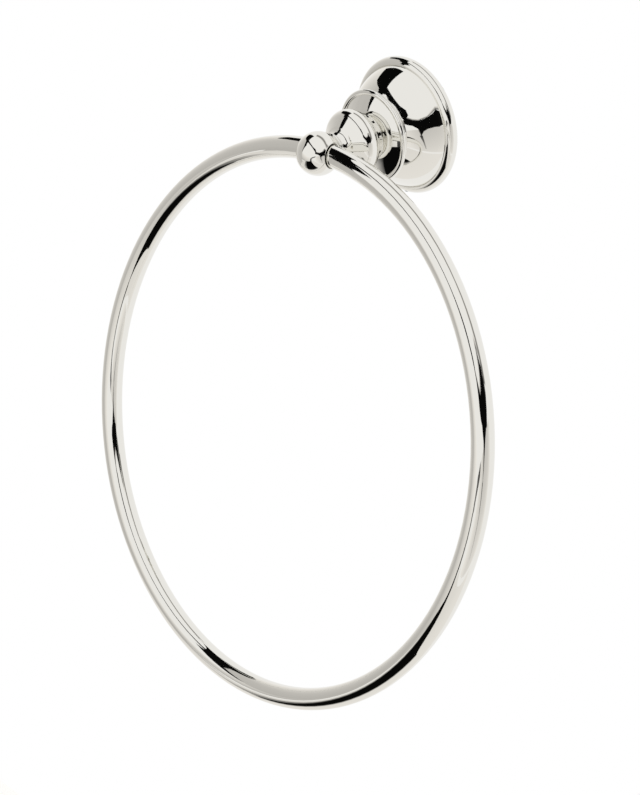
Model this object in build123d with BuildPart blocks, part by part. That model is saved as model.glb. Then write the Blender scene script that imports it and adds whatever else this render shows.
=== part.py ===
"""Wall-mounted towel ring: bell rosette, turned post with a drilled ball, and a tube ring that swings.

The origin is the centre of the rosette's back, on the wall. +X is to the right along the wall, +Y goes into
the wall and +Z is up. Sizes are in millimetres. A depth is a distance out from the wall, along -Y.
"""

from build123d import *
import os
from math import cos, radians, sin, sqrt, tan

# Rosette
rosette_radius = 28.2
rim_bead_radius = 2.9
crease_width = 0.15
dome_arc_radius = 32.0
dome_top_radius = 16.6
shell_wall = 2.2
seat_depth = 24.6
seat_web = 7.7
seat_margin = 0.4
saucer_arc_radius = 37.0
saucer_fall = 2.15
lip_radius = 18.9
lip_bead_radius = 1.15
lip_crease_angle = 30.0
lip_undercut = 1.95
lip_cove_bulge = 0.45
cavity_ceiling_inset = 3.0

# Post, from its seat outwards
foot_radius = 9.6
foot_belly = 0.3
foot_length = 0.6
foot_end_radius = 9.7
groove_radius = 9.1
groove_width = 2.2
cup_radius = 13.5
cup_bead_radius = 5.0
cup_front_angle = 35.0
collar_radius = 7.8
cove_length = 3.2
cove_radius = 5.2
cove_bulge = 0.5
astragal_radius = 6.3
astragal_half_width = 0.75
quirk_radius = 5.6
ball_radius = 8.8
mouth_land = 0.4
hole_edge_round = 0.3

# Threaded spigot behind the post's shoulder, with its nut and spring washer
spigot_radius = 4.0
spigot_chamfer = 0.6
spigot_clearance = 0.1
spigot_overrun = 1.1
nut_across_flats = 13.0
nut_height = 4.0
nut_chamfer = 0.7
thread_clearance = 0.05
washer_radius = 7.0
washer_thickness = 1.6
washer_slit = 1.2

# Ring
ring_radius = 111.5
tube_radius = 4.5
tube_wall = 1.0
ring_clearance = 0.4
ring_gap = 0.3
ring_swing = 15.0
dowel_length = 14.0
dowel_clearance = 0.2
dowel_chamfer = 0.6

# Wall bracket and the grub screw that draws the rosette on to it
bracket_thickness = 5.5
bracket_clearance = 0.9
bracket_edge_chamfer = 0.5
groove_floor_width = 1.0
groove_mouth_width = 3.8
bracket_groove_depth = 1.3
grub_radius = 1.5
grub_depth = 3.0
grub_length = 7.2
grub_tip_radius = 0.45
grub_socket_flats = 1.5
grub_socket_depth = 2.0
grub_clearance = 0.05

# Wall screws and plugs
screw_inset = 7.75
screw_radius = 2.1
screw_length = 30.0
screw_point_length = 4.0
screw_hole_clearance = 0.25
head_radius = 3.9
head_height = 2.3
head_edge_height = 1.0
head_clearance = 0.5
counterbore_depth = 2.6
plug_relief_clearance = 0.4
plug_relief_depth = 0.6
recess_length = 4.2
recess_width = 0.9
recess_depth = 1.3
plug_radius = 3.0
plug_length = 32.0
plug_collar_length = 10.0
plug_slit = 0.8
plug_rib_pitch = 4.0
plug_rib_depth = 0.45

# Worked out along the post: where each feature of the turned profile starts
foot_end = seat_depth + foot_length
groove_end = foot_end + groove_width
cup_centre_radius = cup_radius - cup_bead_radius
cup_back_reach = sqrt(cup_bead_radius**2 - (groove_radius - cup_centre_radius) ** 2)
cup_depth = groove_end + cup_back_reach
cup_front_slope = radians(cup_front_angle)
cup_front_radius = cup_centre_radius + cup_bead_radius * sin(cup_front_slope)
cup_front_depth = cup_depth + cup_bead_radius * cos(cup_front_slope)
collar_depth = cup_front_depth + (cup_front_radius - collar_radius) * tan(cup_front_slope)
cove_end = collar_depth + cove_length
astragal_depth = cove_end + astragal_half_width
astragal_end = astragal_depth + astragal_half_width
ball_depth = astragal_end + sqrt(ball_radius**2 - quirk_radius**2)
hole_radius = tube_radius + ring_clearance
hole_depth = astragal_end + mouth_land + hole_radius

# Worked out in the rosette
lip_front_depth = seat_depth - saucer_fall
lip_depth = lip_front_depth - lip_bead_radius
lip_bead_centre = lip_radius - lip_bead_radius
lip_crease_radius = lip_bead_centre - lip_bead_radius * cos(radians(lip_crease_angle))
lip_crease_depth = lip_depth + lip_bead_radius * sin(radians(lip_crease_angle))
dome_top_depth = lip_depth - lip_bead_radius - lip_undercut
rim_centre_radius = rosette_radius - rim_bead_radius
crease_radius = rim_centre_radius - crease_width
crease_depth = 2 * rim_bead_radius - crease_width
cavity_mouth_radius = crease_radius - shell_wall
cavity_ceiling_radius = dome_top_radius - cavity_ceiling_inset
ceiling_depth = seat_depth - seat_web
spigot_hole_radius = spigot_radius + spigot_clearance

# Worked out behind the ceiling and in the wall
washer_depth = ceiling_depth - washer_thickness
nut_depth = washer_depth - nut_height
spigot_end = nut_depth - spigot_overrun
bracket_radius = cavity_mouth_radius - bracket_clearance
groove_floor_radius = bracket_radius - bracket_groove_depth
screw_offset = groove_floor_radius - screw_inset
counterbore_radius = head_radius + head_clearance
screw_hole_radius = screw_radius + screw_hole_clearance
head_seat_depth = bracket_thickness - counterbore_depth
head_dome_height = head_height - head_edge_height
head_dome_radius = (head_radius**2 + head_dome_height**2) / (2 * head_dome_height)

# Worked out for the ring: its plane leans out at the bottom, and its bow is centred in the hole
hole_half_length = sqrt(ball_radius**2 - (ball_depth - hole_depth) ** 2)
bow_in_hole = ring_radius - sqrt(ring_radius**2 - hole_half_length**2)
ring_centre_drop = ring_radius - bow_in_hole / 2
bow_over_dowel = ring_radius - sqrt(ring_radius**2 - (dowel_length / 2) ** 2)
dowel_rise = (bow_in_hole - bow_over_dowel) / 2
lean = radians(ring_swing)

# Planes: local x is the radius and local y the depth in a turned profile
turning = Plane(origin=(0, 0, 0), x_dir=(0, 0, 1), z_dir=(1, 0, 0))
wall = Plane(origin=(0, 0, 0), x_dir=(1, 0, 0), z_dir=(0, -1, 0))
ring_plane = Plane(
    origin=(0, -hole_depth, 0), x_dir=(1, 0, 0), z_dir=(0, -cos(lean), sin(lean))
)
ring_centre = ring_plane.from_local_coords((0, -ring_centre_drop, 0))
ring_axis = Axis(ring_centre, ring_plane.z_dir)

os.makedirs("parts", exist_ok=True)


def keep(part, label):
    """Labels a finished piece and writes it to its own file."""
    part.label = label
    export_step(part, "parts/" + label + ".step")


# Rosette: a hollow bell turned in one piece, with a rim bead, a domed body and a crowned saucer
with BuildPart() as rosette:
    with BuildSketch(turning):
        with BuildLine():
            seat_edge = (foot_radius + seat_margin, seat_depth)
            Line((spigot_hole_radius, seat_depth), seat_edge)
            RadiusArc(seat_edge, (lip_crease_radius, lip_crease_depth), saucer_arc_radius)
            ThreePointArc(
                (lip_crease_radius, lip_crease_depth),
                (lip_radius, lip_depth),
                (lip_bead_centre, lip_depth - lip_bead_radius),
            )
            ThreePointArc(
                (lip_bead_centre, lip_depth - lip_bead_radius),
                (
                    (lip_bead_centre + dome_top_radius) / 2 - lip_cove_bulge,
                    dome_top_depth + lip_undercut / 2 + lip_cove_bulge,
                ),
                (dome_top_radius, dome_top_depth),
            )
            RadiusArc((dome_top_radius, dome_top_depth), (crease_radius, crease_depth), dome_arc_radius)
            Line((crease_radius, crease_depth), (rim_centre_radius, 2 * rim_bead_radius))
            ThreePointArc(
                (rim_centre_radius, 2 * rim_bead_radius),
                (rosette_radius, rim_bead_radius),
                (rim_centre_radius, 0),
            )
            Polyline((rim_centre_radius, 0), (cavity_mouth_radius, 0), (cavity_mouth_radius, crease_depth))
            RadiusArc(
                (cavity_mouth_radius, crease_depth),
                (cavity_ceiling_radius, ceiling_depth),
                -(dome_arc_radius - shell_wall),
            )
            Polyline(
                (cavity_ceiling_radius, ceiling_depth),
                (spigot_hole_radius, ceiling_depth),
                (spigot_hole_radius, seat_depth),
            )
        make_face()
    revolve(axis=Axis.Y)
    with BuildSketch(Plane(origin=(0, -grub_depth, 0), x_dir=(1, 0, 0), z_dir=(0, 0, -1))):
        Circle(grub_radius)
    extrude(amount=rosette_radius, mode=Mode.SUBTRACT)
keep(rosette.part, "rosette")


# Post: one turned baluster with a foot, cup, cove, astragal and cross-drilled ball, on a threaded spigot
with BuildPart() as post:
    with Locations((0, -ball_depth, 0)):
        Sphere(ball_radius, rotation=(90, 0, 0))
    with BuildSketch(Plane.YZ.offset(-ball_radius)):
        with Locations((-hole_depth, 0)):
            Circle(hole_radius)
    extrude(amount=2 * ball_radius, mode=Mode.SUBTRACT)
    fillet(post.edges().filter_by(GeomType.BSPLINE), hole_edge_round)
    with BuildSketch(turning):
        with BuildLine():
            Polyline(
                (0, spigot_end),
                (spigot_radius - spigot_chamfer, spigot_end),
                (spigot_radius, spigot_end + spigot_chamfer),
                (spigot_radius, seat_depth),
                (foot_radius, seat_depth),
            )
            ThreePointArc(
                (foot_radius, seat_depth),
                (foot_radius + foot_belly, seat_depth + foot_length / 2),
                (foot_end_radius, foot_end),
            )
            Polyline((foot_end_radius, foot_end), (groove_radius, foot_end), (groove_radius, groove_end))
            ThreePointArc(
                (groove_radius, groove_end),
                (cup_radius, cup_depth),
                (cup_front_radius, cup_front_depth),
            )
            Line((cup_front_radius, cup_front_depth), (collar_radius, collar_depth))
            ThreePointArc(
                (collar_radius, collar_depth),
                (
                    (collar_radius + cove_radius) / 2 - cove_bulge,
                    (collar_depth + cove_end) / 2 - cove_bulge / 2,
                ),
                (cove_radius, cove_end),
            )
            ThreePointArc(
                (cove_radius, cove_end),
                (astragal_radius, astragal_depth),
                (cove_radius, astragal_end),
            )
            Polyline((cove_radius, astragal_end), (0, astragal_end), (0, spigot_end))
        make_face()
    revolve(axis=Axis.Y)
keep(post.part, "post")


# Thin hex nut that clamps the post to the rosette
with BuildPart() as post_nut:
    with BuildSketch(wall.offset(nut_depth)):
        RegularPolygon(nut_across_flats / 2, 6, major_radius=False)
        Circle(spigot_radius + thread_clearance, mode=Mode.SUBTRACT)
    extrude(amount=nut_height)
    with BuildSketch(turning):
        with BuildLine():
            corner = nut_across_flats / 2
            Polyline(
                (0, nut_depth),
                (corner - nut_chamfer / 2, nut_depth),
                (corner + nut_chamfer * 2, nut_depth + nut_chamfer),
                (corner + nut_chamfer * 2, nut_depth + nut_height),
                (0, nut_depth + nut_height),
                (0, nut_depth),
            )
        make_face()
    revolve(axis=Axis.Y, mode=Mode.INTERSECT)
keep(post_nut.part, "post_nut")


# Split washer between the nut and the rosette's ceiling
with BuildPart() as spring_washer:
    with BuildSketch(wall.offset(washer_depth)):
        Circle(washer_radius)
        Circle(spigot_radius + spigot_clearance, mode=Mode.SUBTRACT)
        with Locations((washer_radius / 2, 0)):
            Rectangle(washer_radius * 2, washer_slit, mode=Mode.SUBTRACT, align=(Align.MIN, Align.CENTER))
    extrude(amount=washer_thickness)
keep(spring_washer.part, "spring_washer")


# Ring: a round tube bent to a circle, with its two ends meeting at the top, inside the ball
with BuildPart() as ring:
    with BuildSketch(Plane(origin=ring_centre, x_dir=(1, 0, 0), z_dir=ring_plane.y_dir)):
        with Locations((ring_radius, 0)):
            Circle(tube_radius)
            Circle(tube_radius - tube_wall, mode=Mode.SUBTRACT)
    revolve(axis=ring_axis)
    with BuildSketch(ring_plane):
        Rectangle(ring_gap, 4 * tube_radius)
    extrude(amount=2 * tube_radius, both=True, mode=Mode.SUBTRACT)
keep(ring.part, "ring")


# Dowel inside the tube that joins the ring's two ends
dowel_start = ring_plane.from_local_coords((-dowel_length / 2, dowel_rise, 0))
with BuildPart() as ring_dowel:
    with BuildSketch(Plane(origin=dowel_start, z_dir=(1, 0, 0))):
        Circle(tube_radius - tube_wall - dowel_clearance)
    extrude(amount=dowel_length)
    chamfer(ring_dowel.edges().filter_by(GeomType.CIRCLE), dowel_chamfer)
keep(ring_dowel.part, "ring_dowel")


# Wall bracket: a round plate with a groove round its edge, two counterbored holes and a relieved back
with BuildPart() as wall_bracket:
    with BuildSketch(turning):
        with BuildLine():
            Polyline(
                (0, 0),
                (bracket_radius, 0),
                (bracket_radius, grub_depth - groove_mouth_width / 2),
                (groove_floor_radius, grub_depth - groove_floor_width / 2),
                (groove_floor_radius, grub_depth + groove_floor_width / 2),
                (bracket_radius, grub_depth + groove_mouth_width / 2),
                (bracket_radius, bracket_thickness - bracket_edge_chamfer),
                (bracket_radius - bracket_edge_chamfer, bracket_thickness),
                (0, bracket_thickness),
                (0, 0),
            )
        make_face()
    revolve(axis=Axis.Y)
    with Locations(wall.offset(bracket_thickness)):
        with GridLocations(0, 2 * screw_offset, 1, 2):
            CounterBoreHole(screw_hole_radius, counterbore_radius, counterbore_depth)
    with BuildSketch(wall):
        with GridLocations(0, 2 * screw_offset, 1, 2):
            Circle(plug_radius + plug_relief_clearance)
    extrude(amount=plug_relief_depth, mode=Mode.SUBTRACT)
keep(wall_bracket.part, "wall_bracket")


# Grub screw, driven up through the underside of the rim into the bracket's groove
grub_start = groove_floor_radius + grub_clearance
grub_body_radius = grub_radius - grub_clearance
with BuildPart() as grub_screw:
    with BuildSketch(Plane(origin=(0, -grub_depth, -grub_start), x_dir=(1, 0, 0), z_dir=(0, 1, 0))):
        with BuildLine():
            Polyline(
                (0, 0),
                (grub_tip_radius, 0),
                (grub_body_radius, grub_body_radius - grub_tip_radius),
                (grub_body_radius, grub_length),
                (0, grub_length),
                (0, 0),
            )
        make_face()
    revolve(axis=Axis((0, -grub_depth, 0), (0, 0, 1)))
    with BuildSketch(Plane(origin=(0, -grub_depth, -grub_start - grub_length), z_dir=(0, 0, 1))):
        RegularPolygon(grub_socket_flats / 2, 6, major_radius=False)
    extrude(amount=grub_socket_depth, mode=Mode.SUBTRACT)
keep(grub_screw.part, "grub_screw")


# Two pan-head wall screws with a cross recess, through the bracket into the plugs
with BuildPart() as wall_screws:
    with BuildSketch(Plane(origin=(0, 0, screw_offset), x_dir=(1, 0, 0), z_dir=(0, 0, -1))):
        with BuildLine():
            Polyline(
                (0, head_seat_depth + head_height),
                (0, head_seat_depth - screw_length),
                (screw_radius, head_seat_depth - screw_length + screw_point_length),
                (screw_radius, head_seat_depth),
                (head_radius, head_seat_depth),
                (head_radius, head_seat_depth + head_edge_height),
            )
            RadiusArc(
                (head_radius, head_seat_depth + head_edge_height),
                (0, head_seat_depth + head_height),
                -head_dome_radius,
            )
        make_face()
    revolve(axis=Axis((0, 0, screw_offset), (0, 1, 0)))
    with BuildSketch(wall.offset(head_seat_depth + head_height - recess_depth)):
        with Locations((0, screw_offset)):
            Rectangle(recess_length, recess_width)
            Rectangle(recess_width, recess_length)
    extrude(amount=recess_depth, mode=Mode.SUBTRACT)
    mirror(about=Plane.XY)
keep(wall_screws.part, "wall_screws")


# Two wall plugs: a plain collar at the wall, then ribbed legs parted by a slit
with BuildPart() as wall_plugs:
    with BuildSketch(Plane(origin=(0, 0, screw_offset), x_dir=(1, 0, 0), z_dir=(0, 0, 1))):
        with BuildLine():
            rib_count = int((plug_length - plug_collar_length) / plug_rib_pitch)
            outline = [(screw_radius + thread_clearance, 0), (plug_radius, 0)]
            for rib in range(rib_count):
                rib_start = plug_collar_length + rib * plug_rib_pitch
                outline.append((plug_radius, rib_start))
                outline.append((plug_radius - plug_rib_depth, rib_start))
            outline.append((plug_radius, plug_collar_length + rib_count * plug_rib_pitch))
            outline.append((plug_radius - plug_rib_depth, plug_length))
            outline.append((screw_radius + thread_clearance, plug_length))
            Polyline(*outline, close=True)
        make_face()
    revolve(axis=Axis((0, 0, screw_offset), (0, 1, 0)))
    with BuildSketch(Plane(origin=(0, plug_length, screw_offset), x_dir=(1, 0, 0), z_dir=(0, -1, 0))):
        Rectangle(3 * plug_radius, plug_slit)
    extrude(amount=plug_length - plug_collar_length, mode=Mode.SUBTRACT)
    mirror(about=Plane.XY)
keep(wall_plugs.part, "wall_plugs")
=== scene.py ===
from math import cos, radians, sin

import bmesh
import bpy
from bpy.props import FloatProperty, FloatVectorProperty, PointerProperty
from mathutils import Matrix, Vector

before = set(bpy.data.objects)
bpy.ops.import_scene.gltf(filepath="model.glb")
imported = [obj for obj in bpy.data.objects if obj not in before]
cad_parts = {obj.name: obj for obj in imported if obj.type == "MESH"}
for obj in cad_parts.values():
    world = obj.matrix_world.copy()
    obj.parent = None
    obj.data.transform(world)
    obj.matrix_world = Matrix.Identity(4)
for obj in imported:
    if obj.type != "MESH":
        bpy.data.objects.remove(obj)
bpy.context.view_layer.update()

bl_info = {
    "name": "Towel ring",
    "version": (1, 0, 0),
    "blender": (4, 5, 0),
    "location": "View3D > Sidebar > Towel ring",
    "description": "Finishes a polished nickel towel ring and its fixings, and sets up a white studio",
    "category": "Object",
}

MM = 0.001
# Nearly all the values of a noise texture lie in this span.
NOISE_SPAN = {"From Min": 0.3, "From Max": 0.7}


def linear(code):
    """A colour written as sRGB hex, as the linear values that Blender works in."""
    parts = [int(code[i:i + 2], 16) / 255 for i in (0, 2, 4)]
    return [c / 12.92 if c <= 0.04045 else ((c + 0.055) / 1.055) ** 2.4 for c in parts]


def add(tree, kind, settings=None, **links):
    """One node with its settings. Links name an input, with _ for a space, and what feeds it."""
    node = tree.nodes.new(kind)
    for key, value in (settings or {}).items():
        if key in node.bl_rna.properties:
            setattr(node, key, value)
        else:
            node.inputs[key].default_value = value
    for key, output in links.items():
        tree.links.new(output, node.inputs[key.replace("_", " ")])
    return node


def new_material(name):
    """An empty node material and its tree."""
    material = bpy.data.materials.new(name)
    material.use_nodes = True
    material.node_tree.nodes.clear()
    return material, material.node_tree


def finish_surface(tree, shader):
    """Ends a material's tree in its output."""
    tree.links.new(shader.outputs[0], add(tree, "ShaderNodeOutputMaterial").inputs["Surface"])


def paint(material, *names):
    """Gives one material to the named CAD nodes."""
    for name in names:
        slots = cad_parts[name].data.materials
        slots.clear()
        slots.append(material)


class NickelSettings(bpy.types.PropertyGroup):
    """The polished plate of the rosette, the post and the ring"""
    colour: FloatVectorProperty(
        name="Nickel colour", description="Colour that the plate reflects head on",
        size=3, subtype="COLOR", min=0, max=1, default=linear("EEEDE8"))
    roughness: FloatProperty(
        name="Polish", description="Roughness of the buffed plate, 0 is a perfect mirror",
        min=0, max=1, subtype="FACTOR", default=0.03)
    buff_pitch: FloatProperty(
        name="Buffing pitch", description="Distance between the faint waves that the buff leaves",
        min=0.1 * MM, unit="LENGTH", default=6 * MM)


class FixingSettings(bpy.types.PropertyGroup):
    """The colours of the pieces that are hidden once the ring is up"""
    steel: FloatVectorProperty(
        name="Steel colour", description="Colour of the zinc plated steel",
        size=3, subtype="COLOR", min=0, max=1, default=linear("C9CDD0"))
    casting: FloatVectorProperty(
        name="Casting colour", description="Colour of the tumbled zinc casting",
        size=3, subtype="COLOR", min=0, max=1, default=linear("B9BBBC"))
    nylon: FloatVectorProperty(
        name="Nylon colour", description="Colour of the moulded wall plugs",
        size=3, subtype="COLOR", min=0, max=1, default=linear("DDDFDC"))


class StageSettings(bpy.types.PropertyGroup):
    """The light tent and the camera's lens"""
    tent: FloatVectorProperty(
        name="Tent colour", description="White of the light tent round the towel ring",
        size=3, subtype="COLOR", min=0, max=1, default=linear("FDFCFB"))
    shade: FloatVectorProperty(
        name="Shade colour",
        description="Tint of the tent where it is in shade, a little warmer than its white",
        size=3, subtype="COLOR", min=0, max=1, default=linear("FDFAF6"))
    light_level: FloatProperty(
        name="Light level", description="Strength of the tent's light on matt surfaces",
        min=0, default=0.8)
    mirrored_level: FloatProperty(
        name="Mirrored level", description="Brightness of the tent in the metal",
        min=0, default=0.96)
    lens: FloatProperty(
        name="Lens", description="Focal length of the camera, for a 36 mm sensor along the longer side",
        min=1, default=102.85)


class TOWELRING_OT_nickel(bpy.types.Operator):
    """Plates the rosette, the post and the ring with polished nickel"""
    bl_idname = "towelring.nickel"
    bl_label = "Nickel plate"

    def execute(self, context):
        settings = context.scene.towelring_nickel
        material, tree = new_material("polished_nickel_plate")
        # Nickel plate on brass, buffed to a mirror before and after plating: clear reflections,
        # slightly warm, with broad faint waves and a little uneven haze where the buff dragged.
        haze_size = 11 * MM
        clearest, haziest = settings.roughness * 0.7, settings.roughness * 1.5
        position = add(tree, "ShaderNodeTexCoord").outputs["Object"]
        waves = add(tree, "ShaderNodeTexNoise",
                    {"Scale": 1 / settings.buff_pitch, "Detail": 1.0, "Roughness": 0.4}, Vector=position)
        relief = add(tree, "ShaderNodeBump", {"Strength": 0.15, "Distance": 0.004 * MM},
                     Height=waves.outputs["Fac"])
        haze = add(tree, "ShaderNodeTexNoise",
                   {"Scale": 1 / haze_size, "Detail": 3.0, "Roughness": 0.6}, Vector=position)
        rough = add(tree, "ShaderNodeMapRange", {**NOISE_SPAN, "To Min": clearest, "To Max": haziest},
                    Value=haze.outputs["Fac"])
        shader = add(tree, "ShaderNodeBsdfPrincipled",
                     {"Base Color": (*settings.colour, 1), "Metallic": 1.0},
                     Roughness=rough.outputs["Result"], Normal=relief.outputs["Normal"])
        finish_surface(tree, shader)
        paint(material, "rosette", "post", "ring")
        return {"FINISHED"}


class TOWELRING_OT_steel(bpy.types.Operator):
    """Finishes the screws, nut, washer and dowel as zinc plated steel"""
    bl_idname = "towelring.steel"
    bl_label = "Steel fixings"

    def execute(self, context):
        settings = context.scene.towelring_fixings
        material, tree = new_material("zinc_plated_steel")
        # Cold-headed steel, barrel plated with bright zinc: silver with a blue cast and a soft,
        # slightly mottled gloss.
        mottle_size = 0.8 * MM
        position = add(tree, "ShaderNodeTexCoord").outputs["Object"]
        mottle = add(tree, "ShaderNodeTexNoise",
                     {"Scale": 1 / mottle_size, "Detail": 3.0, "Roughness": 0.6}, Vector=position)
        rough = add(tree, "ShaderNodeMapRange", {**NOISE_SPAN, "To Min": 0.22, "To Max": 0.36},
                    Value=mottle.outputs["Fac"])
        relief = add(tree, "ShaderNodeBump", {"Strength": 0.3, "Distance": 0.01 * MM},
                     Height=mottle.outputs["Fac"])
        shader = add(tree, "ShaderNodeBsdfPrincipled",
                     {"Base Color": (*settings.steel, 1), "Metallic": 1.0},
                     Roughness=rough.outputs["Result"], Normal=relief.outputs["Normal"])
        finish_surface(tree, shader)
        paint(material, "wall_screws", "grub_screw", "spring_washer", "post_nut", "ring_dowel")
        return {"FINISHED"}


class TOWELRING_OT_casting(bpy.types.Operator):
    """Finishes the wall bracket as a tumbled zinc casting"""
    bl_idname = "towelring.casting"
    bl_label = "Cast bracket"

    def execute(self, context):
        settings = context.scene.towelring_fixings
        material, tree = new_material("tumbled_zinc_casting")
        # Hot-chamber zinc die casting, tumbled with stone: satin grey metal whose skin has fine
        # dimples and cloudier patches where the metal chilled first.
        dimple_size, cloud_size = 0.5 * MM, 7 * MM
        position = add(tree, "ShaderNodeTexCoord").outputs["Object"]
        dimples = add(tree, "ShaderNodeTexNoise",
                      {"Scale": 1 / dimple_size, "Detail": 4.0, "Roughness": 0.65}, Vector=position)
        clouds = add(tree, "ShaderNodeTexNoise",
                     {"Scale": 1 / cloud_size, "Detail": 2.0, "Roughness": 0.5}, Vector=position)
        rough = add(tree, "ShaderNodeMapRange", {**NOISE_SPAN, "To Min": 0.38, "To Max": 0.56},
                    Value=clouds.outputs["Fac"])
        relief = add(tree, "ShaderNodeBump", {"Strength": 0.5, "Distance": 0.03 * MM},
                     Height=dimples.outputs["Fac"])
        shader = add(tree, "ShaderNodeBsdfPrincipled",
                     {"Base Color": (*settings.casting, 1), "Metallic": 1.0},
                     Roughness=rough.outputs["Result"], Normal=relief.outputs["Normal"])
        finish_surface(tree, shader)
        paint(material, "wall_bracket")
        return {"FINISHED"}


class TOWELRING_OT_nylon(bpy.types.Operator):
    """Finishes the wall plugs as moulded nylon"""
    bl_idname = "towelring.nylon"
    bl_label = "Nylon plugs"

    def execute(self, context):
        settings = context.scene.towelring_fixings
        material, tree = new_material("moulded_nylon")
        # Injection-moulded nylon: pale, slightly waxy, with the mould's fine spark-eroded grain.
        grain_size = 0.25 * MM
        position = add(tree, "ShaderNodeTexCoord").outputs["Object"]
        grain = add(tree, "ShaderNodeTexNoise",
                    {"Scale": 1 / grain_size, "Detail": 2.0, "Roughness": 0.5}, Vector=position)
        relief = add(tree, "ShaderNodeBump", {"Strength": 0.4, "Distance": 0.015 * MM},
                     Height=grain.outputs["Fac"])
        shader = add(tree, "ShaderNodeBsdfPrincipled",
                     {"Base Color": (*settings.nylon, 1), "Roughness": 0.42, "IOR": 1.53,
                      "Subsurface Weight": 0.15, "Subsurface Scale": 1 * MM},
                     Normal=relief.outputs["Normal"])
        finish_surface(tree, shader)
        paint(material, "wall_plugs")
        return {"FINISHED"}


# The studio, in metres. The wall stands on the floor, with its face a hair behind the rosette's
# back. Both are squares, given by half their side.
WALL_GAP = 0.05 * MM
WALL_HALF = 2
FLOOR_HALF = 3
FLOOR_LEVEL = -0.5
# Glow that fades the floor into the white background.
FLOOR_GLOW = 0.3
# Strength at which a glowing surface renders as plain white.
WHITE = 1.0

# The photograph's camera, fitted to the object: its place in metres, its azimuth, elevation and
# roll in degrees, its sensor in millimetres and the nearest distance that it sees, in metres.
CAMERA_PLACE = (0.64503, -0.60431, 0.27927)
CAMERA_ANGLES = (49.65, 24.31, -3.10)
SENSOR = 36
NEAREST = 0.01

# Brightness of an opening in the light tent.
BLACK = 0.003
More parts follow.
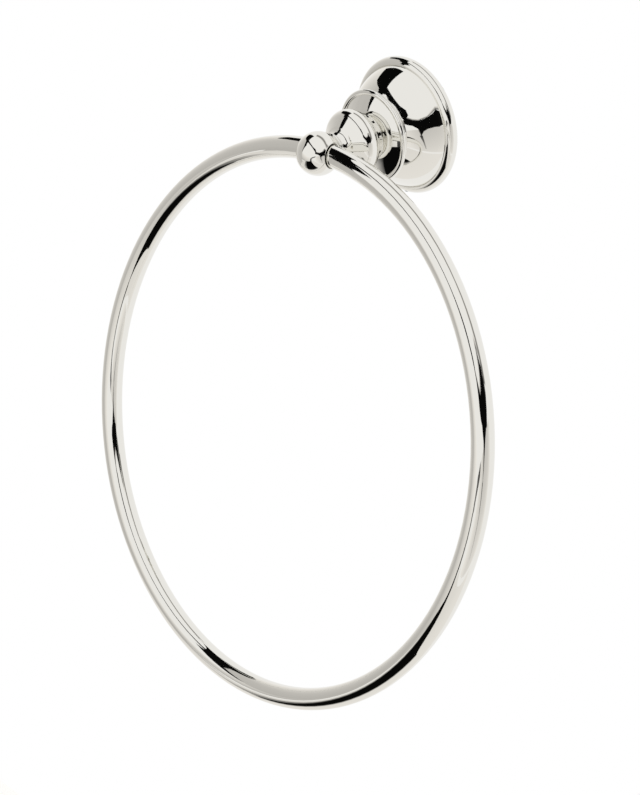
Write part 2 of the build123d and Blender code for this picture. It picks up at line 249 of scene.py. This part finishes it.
# The cards of the light tent, in metres: a box round the object, whose openings, seams and bands of
# painted shade and shadow draw the dark shapes in the metal. A card in front of another hangs a
# centimetre or two nearer the object.
# Each card is a name and its rungs. A rung is one edge's corner with its brightness, then the other
# edge's corner with its brightness, and the brightness blends from rung to rung.
CARDS = (
    # The left side, white at the back and in shade towards the front.
    ("left_wall", (
        ((-0.82, 0.40, -0.45), 0.97, (-0.82, 0.40, 0.42), 0.97),
        ((-0.82, 0.05, -0.60), 0.78, (-0.82, 0.05, 0.47), 0.74),
        ((-0.82, -0.10, -0.60), 0.72, (-0.82, -0.10, 0.58), 0.66),
        ((-0.82, -0.25, -0.60), 0.66, (-0.82, -0.25, 0.74), 0.60),
        ((-0.82, -0.40, -0.60), 0.60, (-0.82, -0.40, 0.78), 0.58),
        ((-0.82, -0.62, -0.60), 0.55, (-0.82, -0.62, 0.68), 0.58),
        ((-0.82, -0.91, -0.60), 0.50, (-0.82, -0.91, 0.62), 0.58))),
    # The front, from the left corner to the middle, with painted shade low down.
    ("front_wall", (
        ((-0.82, -0.91, -0.38), 0.48, (-0.82, -0.91, 0.12), 0.80),
        ((-0.50, -0.91, -0.38), 0.56, (-0.50, -0.91, 0.08), 0.95),
        ((-0.20, -0.91, -0.37), 0.68, (-0.20, -0.91, 0.00), 0.97),
        ((0.08, -0.91, -0.35), 0.85, (0.08, -0.91, -0.05), 0.97))),
    # The lower half of the right side, in painted shade that is darkest under the opening.
    ("right_wall", (
        ((0.62, 0.14, -0.50), 0.95, (0.62, 0.14, 0.02), 0.90),
        ((0.62, -0.08, -0.50), 0.84, (0.62, -0.08, 0.05), 0.66),
        ((0.62, -0.35, -0.50), 0.80, (0.62, -0.35, 0.05), 0.62),
        ((0.62, -0.60, -0.50), 0.90, (0.62, -0.60, 0.06), 0.75),
        ((0.62, -0.95, -0.50), 0.95, (0.62, -0.95, 0.06), 0.90))),
    # The opening over it, which the camera looks in through.
    ("right_gap", (
        ((0.60, 0.10, 0.12), 0.15, (0.60, 0.10, 0.26), 0.20),
        ((0.60, 0.02, 0.08), 0.01, (0.60, 0.02, 0.26), 0.01),
        ((0.60, -0.06, 0.04), BLACK, (0.60, -0.06, 0.38), BLACK),
        ((0.60, -0.13, 0.05), BLACK, (0.60, -0.13, 0.32), BLACK),
        ((0.60, -0.25, 0.04), BLACK, (0.60, -0.25, 0.27), BLACK),
        ((0.60, -0.33, 0.00), BLACK, (0.60, -0.33, 0.26), BLACK),
        ((0.60, -0.38, -0.10), BLACK, (0.60, -0.38, 0.26), BLACK),
        ((0.60, -0.45, 0.07), BLACK, (0.60, -0.45, 0.26), BLACK),
        ((0.60, -0.60, 0.17), BLACK, (0.60, -0.60, 0.32), BLACK),
        ((0.60, -0.80, 0.24), BLACK, (0.60, -0.80, 0.45), BLACK),
        ((0.60, -1.00, 0.34), BLACK, (0.60, -1.00, 0.58), BLACK))),
    # The opening's upper edge, where black fades into white.
    ("right_gap_top", (
        ((0.60, 0.10, 0.26), 0.20, (0.60, 0.10, 0.40), 0.90),
        ((0.60, -0.06, 0.38), BLACK, (0.60, -0.06, 0.46), 0.90),
        ((0.60, -0.25, 0.27), BLACK, (0.60, -0.25, 0.31), 0.90),
        ((0.60, -0.45, 0.26), BLACK, (0.60, -0.45, 0.30), 0.90),
        ((0.60, -0.60, 0.32), BLACK, (0.60, -0.60, 0.37), 0.90),
        ((0.60, -1.00, 0.58), BLACK, (0.60, -1.00, 0.64), 0.90))),
    # The opening in the floor, in front of the wall.
    ("floor_gap", (
        ((-0.29, -0.31, -0.55), BLACK, (0.22, -0.31, -0.55), BLACK),
        ((-0.30, -0.60, -0.55), BLACK, (0.22, -0.60, -0.55), BLACK),
        ((-0.32, -1.60, -0.55), BLACK, (0.30, -1.60, -0.55), BLACK))),
    # Its back edge, where black fades into white.
    ("floor_gap_back", (
        ((-0.29, -0.24, -0.55), 0.75, (-0.29, -0.31, -0.55), BLACK),
        ((0.22, -0.25, -0.55), 0.90, (0.22, -0.31, -0.55), BLACK))),
    # Its left edge, with the floor in shade beside it.
    ("floor_shade", (
        ((-0.48, -0.28, -0.55), 0.85, (-0.29, -0.31, -0.55), 0.10),
        ((-0.48, -0.60, -0.55), 0.45, (-0.30, -0.60, -0.55), 0.02),
        ((-0.52, -1.60, -0.55), 0.45, (-0.32, -1.60, -0.55), 0.02))),
    # Painted shade on the front: a dark strip from the floor's opening up to the right side's opening.
    ("front_shade_strip", (
        ((0.06, -0.90, -0.36), 0.02, (0.20, -0.90, -0.36), 0.02),
        ((0.08, -0.90, -0.22), 0.08, (0.20, -0.90, -0.24), 0.10),
        ((0.14, -0.90, -0.10), 0.20, (0.24, -0.90, -0.15), 0.20),
        ((0.27, -0.90, -0.02), 0.10, (0.32, -0.90, -0.09), 0.20),
        ((0.58, -0.90, 0.07), 0.05, (0.60, -0.90, 0.00), 0.10))),
    # The opening along the top of the left side, which narrows as it runs down the front corner.
    ("high_gap", (
        ((-0.81, 0.30, 0.40), BLACK, (-0.50, 0.14, 0.90), BLACK),
        ((-0.81, 0.05, 0.45), BLACK, (-0.53, 0.00, 0.90), BLACK),
        ((-0.81, -0.10, 0.56), BLACK, (-0.56, -0.15, 0.90), BLACK),
        ((-0.81, -0.25, 0.70), BLACK, (-0.58, -0.30, 0.90), BLACK),
        ((-0.81, -0.40, 0.74), BLACK, (-0.58, -0.42, 0.90), BLACK),
        ((-0.81, -0.62, 0.66), BLACK, (-0.65, -0.56, 0.90), BLACK),
        ((-0.81, -0.75, 0.58), BLACK, (-0.70, -0.90, 0.88), BLACK),
        ((-0.81, -0.80, 0.42), BLACK, (-0.74, -0.90, 0.50), BLACK),
        ((-0.81, -0.84, 0.27), BLACK, (-0.78, -0.90, 0.27), BLACK),
        ((-0.81, -0.88, 0.12), BLACK, (-0.80, -0.90, 0.12), BLACK))),
    # The edge of the top panel, from the left opening over the front to the right one.
    ("panel_edge", (
        ((-0.70, -0.54, 0.89), BLACK, (-0.58, -0.34, 0.89), BLACK),
        ((-0.50, -0.56, 0.89), BLACK, (-0.46, -0.42, 0.89), BLACK),
        ((-0.16, -0.75, 0.89), BLACK, (-0.13, -0.63, 0.89), BLACK),
        ((0.12, -0.91, 0.88), BLACK, (0.24, -0.84, 0.89), BLACK),
        ((0.36, -0.91, 0.66), BLACK, (0.50, -0.84, 0.80), BLACK),
        ((0.59, -0.91, 0.42), BLACK, (0.60, -0.80, 0.58), BLACK))),
    # A seam that runs down the right side and fades out.
    ("right_seam", (
        ((0.59, -0.41, -0.08), 0.02, (0.59, -0.35, -0.08), 0.02),
        ((0.59, -0.34, -0.22), 0.10, (0.59, -0.31, -0.22), 0.20),
        ((0.59, -0.28, -0.40), 0.40, (0.59, -0.26, -0.40), 0.60))),
    # A soft band of painted shadow up the right side and over the top: its half nearer the camera.
    ("shadow_band_near", (
        ((0.60, 0.02, 0.22), 0.60, (0.60, 0.10, 0.16), 0.10),
        ((0.60, 0.07, 0.42), 0.70, (0.60, 0.18, 0.38), 0.14),
        ((0.60, 0.14, 0.70), 0.80, (0.60, 0.26, 0.66), 0.14),
        ((0.58, 0.18, 0.89), 0.80, (0.58, 0.30, 0.89), 0.14),
        ((-0.42, 0.18, 0.89), 0.80, (-0.46, 0.30, 0.89), 0.12))),
    # Its half nearer the back.
    ("shadow_band_far", (
        ((0.60, 0.10, 0.16), 0.10, (0.60, 0.20, 0.12), 0.60),
        ((0.60, 0.18, 0.38), 0.14, (0.60, 0.30, 0.34), 0.75),
        ((0.60, 0.26, 0.66), 0.14, (0.60, 0.39, 0.62), 0.80),
        ((0.58, 0.30, 0.89), 0.14, (0.58, 0.44, 0.89), 0.80),
        ((-0.46, 0.30, 0.89), 0.12, (-0.60, 0.46, 0.89), 0.80))),
    # The white floor of the tent, under the other cards.
    ("floor_sheet", (
        ((-0.82, 0.05, -0.56), 0.90, (0.62, 0.05, -0.56), 0.90),
        ((-0.82, -0.60, -0.56), 0.80, (0.62, -0.60, -0.56), 0.84),
        ((-0.82, -1.60, -0.56), 0.80, (0.62, -1.60, -0.56), 0.84))),
)


def stage_mesh(name, bm, material):
    """A bmesh as a piece of the stage."""
    mesh = bpy.data.meshes.new(name)
    bm.to_mesh(mesh)
    bm.free()
    mesh.materials.append(material)
    piece = bpy.data.objects.new(name, mesh)
    bpy.context.scene.collection.objects.link(piece)
    return piece


def card_material(shade):
    """A card that shows its own brightness, whatever light falls on it."""
    material, tree = new_material("mirror_card")
    level = add(tree, "ShaderNodeAttribute", {"attribute_name": "brightness"})
    shader = add(tree, "ShaderNodeEmission", {"Color": (*shade, 1)}, Strength=level.outputs["Fac"])
    finish_surface(tree, shader)
    return material


class TOWELRING_OT_cards(bpy.types.Operator):
    """Hangs the black and grey cards that the polished metal mirrors"""
    bl_idname = "towelring.cards"
    bl_label = "Mirror cards"

    def execute(self, context):
        material = card_material(context.scene.towelring_stage.shade)
        for name, rungs in CARDS:
            bm = bmesh.new()
            brightness = bm.verts.layers.float.new("brightness")
            for corner, level in ((0, 1), (2, 3)):
                edge = []
                for rung in rungs:
                    edge.append(bm.verts.new(rung[corner]))
                    edge[-1][brightness] = rung[level]
                for first, second in zip(edge, edge[1:]):
                    bm.edges.new((first, second))
            bmesh.ops.bridge_loops(bm, edges=bm.edges[:])
            piece = stage_mesh(name, bm, material)
            # Only the metal sees a card, which lights nothing and throws no shadow.
            piece.visible_camera = False
            piece.visible_diffuse = False
            piece.visible_shadow = False
            piece.visible_transmission = False
        return {"FINISHED"}


class TOWELRING_OT_stage(bpy.types.Operator):
    """Sets up the white wall, the pale floor, the tent's light and the camera"""
    bl_idname = "towelring.stage"
    bl_label = "Studio"

    def execute(self, context):
        scene = context.scene
        settings = scene.towelring_stage
        self.add_tent(scene, settings)
        self.add_wall()
        self.add_floor()
        self.add_camera(scene, settings)
        scene.view_settings.view_transform = "Standard"
        return {"FINISHED"}

    def add_tent(self, scene, settings):
        """Light from all round, which shows as white behind the object and nearly white in the metal."""
        world = bpy.data.worlds.new("light_tent")
        world.use_nodes = True
        tree = world.node_tree
        tree.nodes.clear()
        rays = add(tree, "ShaderNodeLightPath")
        seen = add(tree, "ShaderNodeMath", {"operation": "MAXIMUM"})
        tree.links.new(rays.outputs["Is Camera Ray"], seen.inputs[0])
        tree.links.new(rays.outputs["Is Transmission Ray"], seen.inputs[1])
        light = add(tree, "ShaderNodeBackground",
                    {"Color": (*settings.tent, 1), "Strength": settings.light_level})
        mirrored = add(tree, "ShaderNodeBackground",
                       {"Color": (*settings.tent, 1), "Strength": settings.mirrored_level})
        white = add(tree, "ShaderNodeBackground", {"Color": (1, 1, 1, 1), "Strength": WHITE})
        metal = add(tree, "ShaderNodeMixShader", Fac=rays.outputs["Is Glossy Ray"])
        tree.links.new(light.outputs[0], metal.inputs[1])
        tree.links.new(mirrored.outputs[0], metal.inputs[2])
        both = add(tree, "ShaderNodeMixShader", Fac=seen.outputs[0])
        tree.links.new(metal.outputs[0], both.inputs[1])
        tree.links.new(white.outputs[0], both.inputs[2])
        tree.links.new(both.outputs[0], add(tree, "ShaderNodeOutputWorld").inputs["Surface"])
        scene.world = world

    def add_wall(self):
        """A white wall behind the rosette, seen from the room's side only."""
        material, tree = new_material("white_wall")
        side = add(tree, "ShaderNodeNewGeometry").outputs["Backfacing"]
        front = add(tree, "ShaderNodeEmission", {"Color": (1, 1, 1, 1), "Strength": WHITE})
        shader = add(tree, "ShaderNodeMixShader", Fac=side)
        tree.links.new(front.outputs[0], shader.inputs[1])
        tree.links.new(add(tree, "ShaderNodeBsdfTransparent").outputs[0], shader.inputs[2])
        finish_surface(tree, shader)
        place = Matrix.Translation((0, WALL_GAP, FLOOR_LEVEL + WALL_HALF))
        upright = Matrix.Rotation(radians(90), 4, "X")
        bm = bmesh.new()
        bmesh.ops.create_grid(bm, x_segments=1, y_segments=1, size=WALL_HALF, matrix=place @ upright)
        wall = stage_mesh("wall", bm, material)
        wall.visible_diffuse = False
        wall.visible_glossy = False
        wall.visible_shadow = False
        wall.visible_transmission = False

    def add_floor(self):
        """A white matt floor well below the ring, which keeps its shadow and fades into the white."""
        material, tree = new_material("pale_floor")
        # Only the camera sees the glow, so it lights nothing.
        rays = add(tree, "ShaderNodeLightPath")
        glow = add(tree, "ShaderNodeMapRange", {"To Max": FLOOR_GLOW},
                   Value=rays.outputs["Is Camera Ray"])
        shader = add(tree, "ShaderNodeBsdfPrincipled",
                     {"Base Color": (*linear("F2F1EE"), 1), "Roughness": 0.8,
                      "Emission Color": (1, 1, 1, 1)},
                     Emission_Strength=glow.outputs["Result"])
        finish_surface(tree, shader)
        bm = bmesh.new()
        bmesh.ops.create_grid(bm, x_segments=1, y_segments=1, size=FLOOR_HALF,
                              matrix=Matrix.Translation((0, 0, FLOOR_LEVEL)))
        floor = stage_mesh("floor", bm, material)
        floor.visible_glossy = False

    def add_camera(self, scene, settings):
        """The photograph's viewpoint."""
        azimuth, elevation, roll = map(radians, CAMERA_ANGLES)
        back = Vector((sin(azimuth) * cos(elevation), -cos(azimuth) * cos(elevation), sin(elevation)))
        level = Vector((cos(azimuth), sin(azimuth), 0))
        upright = back.cross(level)
        right = cos(roll) * level + sin(roll) * upright
        up = back.cross(right)
        data = bpy.data.cameras.new("camera")
        data.lens = settings.lens
        data.sensor_width = SENSOR
        data.clip_start = NEAREST
        camera = bpy.data.objects.new("camera", data)
        turned = Matrix((right, up, back)).transposed().to_4x4()
        camera.matrix_world = Matrix.Translation(CAMERA_PLACE) @ turned
        scene.collection.objects.link(camera)
        scene.camera = camera


class TOWELRING_PT_sidebar(bpy.types.Panel):
    """Lists the towel ring's settings and steps"""
    bl_idname = "TOWELRING_PT_sidebar"
    bl_label = "Towel ring"
    bl_space_type = "VIEW_3D"
    bl_region_type = "UI"
    bl_category = "Towel ring"

    def draw(self, context):
        for name, group in GROUPS.items():
            box = self.layout.box()
            for key in group.__annotations__:
                box.prop(getattr(context.scene, name), key)
        for operator in OPERATORS:
            self.layout.operator(operator.bl_idname)


GROUPS = {
    "towelring_nickel": NickelSettings,
    "towelring_fixings": FixingSettings,
    "towelring_stage": StageSettings,
}
OPERATORS = (
    TOWELRING_OT_nickel,
    TOWELRING_OT_steel,
    TOWELRING_OT_casting,
    TOWELRING_OT_nylon,
    TOWELRING_OT_cards,
    TOWELRING_OT_stage,
)


def register():
    """Adds the settings, the steps and the sidebar to Blender."""
    for group in GROUPS.values():
        bpy.utils.register_class(group)
    for operator in OPERATORS:
        bpy.utils.register_class(operator)
    bpy.utils.register_class(TOWELRING_PT_sidebar)
    for name, group in GROUPS.items():
        setattr(bpy.types.Scene, name, PointerProperty(type=group))


def unregister():
    """Takes them out again."""
    for name in GROUPS:
        delattr(bpy.types.Scene, name)
    bpy.utils.unregister_class(TOWELRING_PT_sidebar)
    for operator in reversed(OPERATORS):
        bpy.utils.unregister_class(operator)
    for group in reversed(list(GROUPS.values())):
        bpy.utils.unregister_class(group)


def main():
    """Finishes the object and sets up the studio."""
    register()
    bpy.ops.towelring.nickel()
    bpy.ops.towelring.steel()
    bpy.ops.towelring.casting()
    bpy.ops.towelring.nylon()
    bpy.ops.towelring.cards()
    bpy.ops.towelring.stage()


if __name__ == "__main__":
    main()
